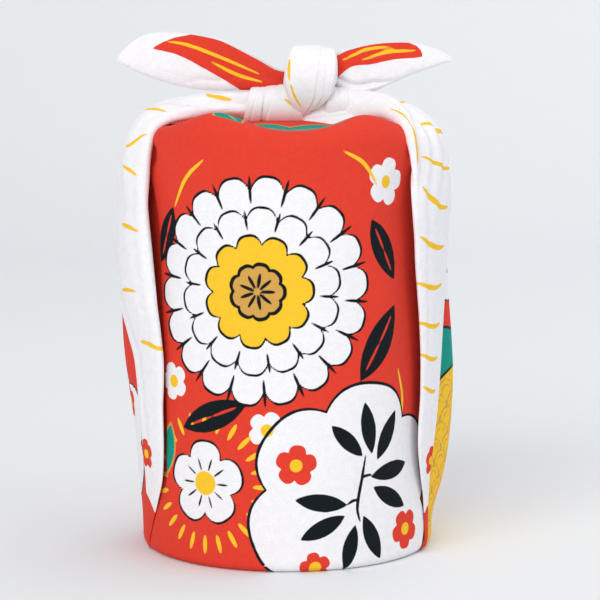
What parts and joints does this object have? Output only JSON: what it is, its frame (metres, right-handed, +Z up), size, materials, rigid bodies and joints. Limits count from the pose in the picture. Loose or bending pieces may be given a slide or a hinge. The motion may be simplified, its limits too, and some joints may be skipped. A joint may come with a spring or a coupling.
{
  "type": "furoshiki wrap",
  "caption": "Square printed cotton cloth wrapped round an upright cylinder and tied in a square knot with two ears on top; hollow inside.",
  "frame": {"origin": "middle of the flat base, on the axis of the round body, at the height of the surface it stands on", "axes": "+Z up along the body's axis to the knot, -Y towards the smooth front panel, +X to the right of the front"},
  "size_m": [0.1101, 0.0952, 0.1668],
  "materials": {
    "printed_cotton": "plain-weave cotton sheeting, white ground, screen printed in red, yellow, green and near-black"
  },
  "bodies": {
    "root": {"furoshiki": "printed_cotton"}
  },
  "joints": []
}
